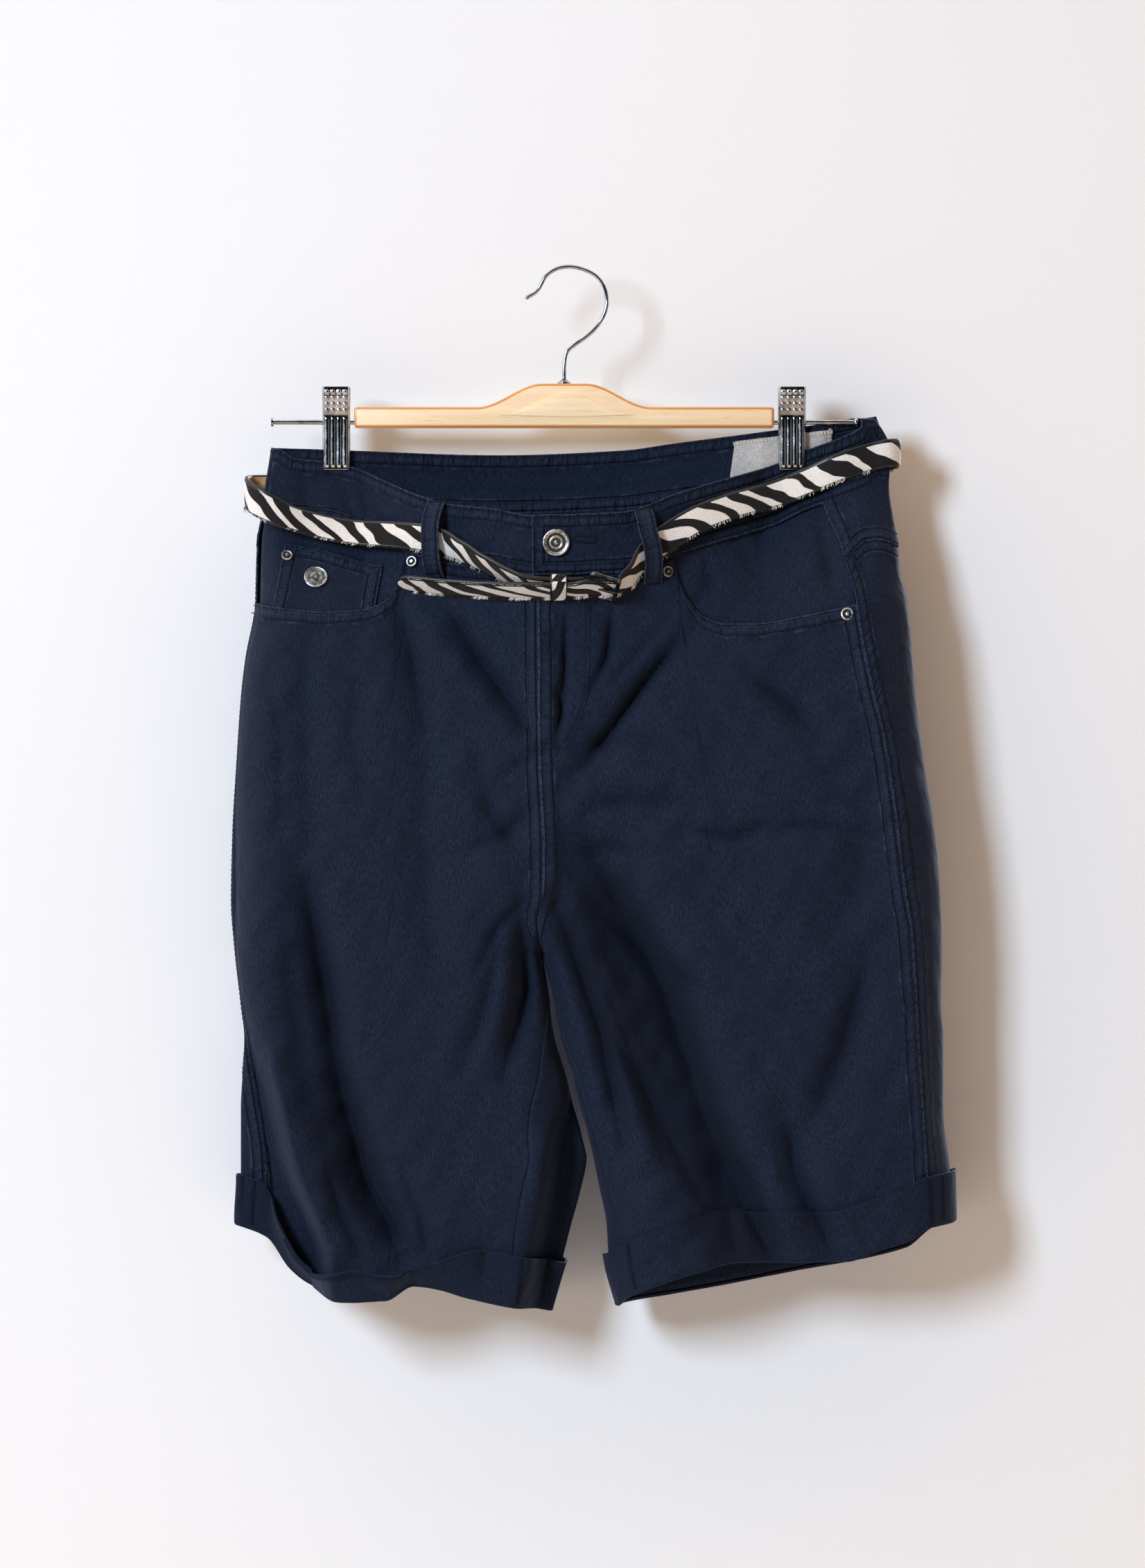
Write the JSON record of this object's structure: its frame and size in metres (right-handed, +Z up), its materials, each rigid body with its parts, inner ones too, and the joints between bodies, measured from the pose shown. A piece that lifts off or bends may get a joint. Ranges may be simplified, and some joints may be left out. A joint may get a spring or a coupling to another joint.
{
  "type": "bermuda shorts on a clip hanger",
  "caption": "Navy twill bermuda shorts with turned-up cuffs and an animal-striped belt in the loops, held at the waist by the clips of a wooden hanger.",
  "frame": {"origin": "inside top of the hanger's hook, where a rail touches it", "axes": "+Z up, the garment's front faces -Y, the wearer's right side lies at -X"},
  "size_m": [0.4519, 0.1038, 0.6506],
  "materials": {
    "twill": "navy cotton stretch twill, tonal stitching",
    "belt_hide": "short-haired hide with an animal stripe, black cut edges, tan lining",
    "nickel": "worn nickel with dark recesses",
    "gunmetal": "polished gunmetal plate",
    "chrome": "bright chrome",
    "wood": "clear-lacquered pale wood",
    "pale_wood": "sanded pale wood inlay",
    "tape": "bare woven label tape"
  },
  "bodies": {
    "root": {"front_right": "twill", "back_right": "twill", "yoke_right": "twill", "waistband_right": "twill", "pocket_facing_right": "twill", "back_pocket_right": "twill", "cuff_right": "twill", "clip_rod_right": "chrome", "clip_right_front": "chrome", "clip_right_back": "chrome", "clip_barrel_right": "chrome", "front_left": "twill", "back_left": "twill", "yoke_left": "twill", "waistband_left": "twill", "pocket_facing_left": "twill", "back_pocket_left": "twill", "cuff_left": "twill", "clip_rod_left": "chrome", "clip_left_front": "chrome", "clip_left_back": "chrome", "clip_barrel_left": "chrome", "waistband_back": "twill", "coin_pocket": "twill", "loop_right_front": "twill", "loop_left_front": "twill", "loop_left_back": "twill", "loop_right_back": "twill", "loop_centre_back": "twill", "inner_label": "tape", "waist_button": "nickel", "pocket_badge": "nickel", "rivet_coin": "nickel", "rivet_right": "nickel", "rivet_left_inner": "nickel", "rivet_left_outer": "nickel", "belt_strap": "belt_hide", "belt_keeper": "belt_hide", "belt_buckle": "gunmetal", "hanger_bar": "wood", "hanger_inlay": "pale_wood", "hanger_hook": "chrome", "hook_ferrule": "chrome"}
  },
  "joints": []
}
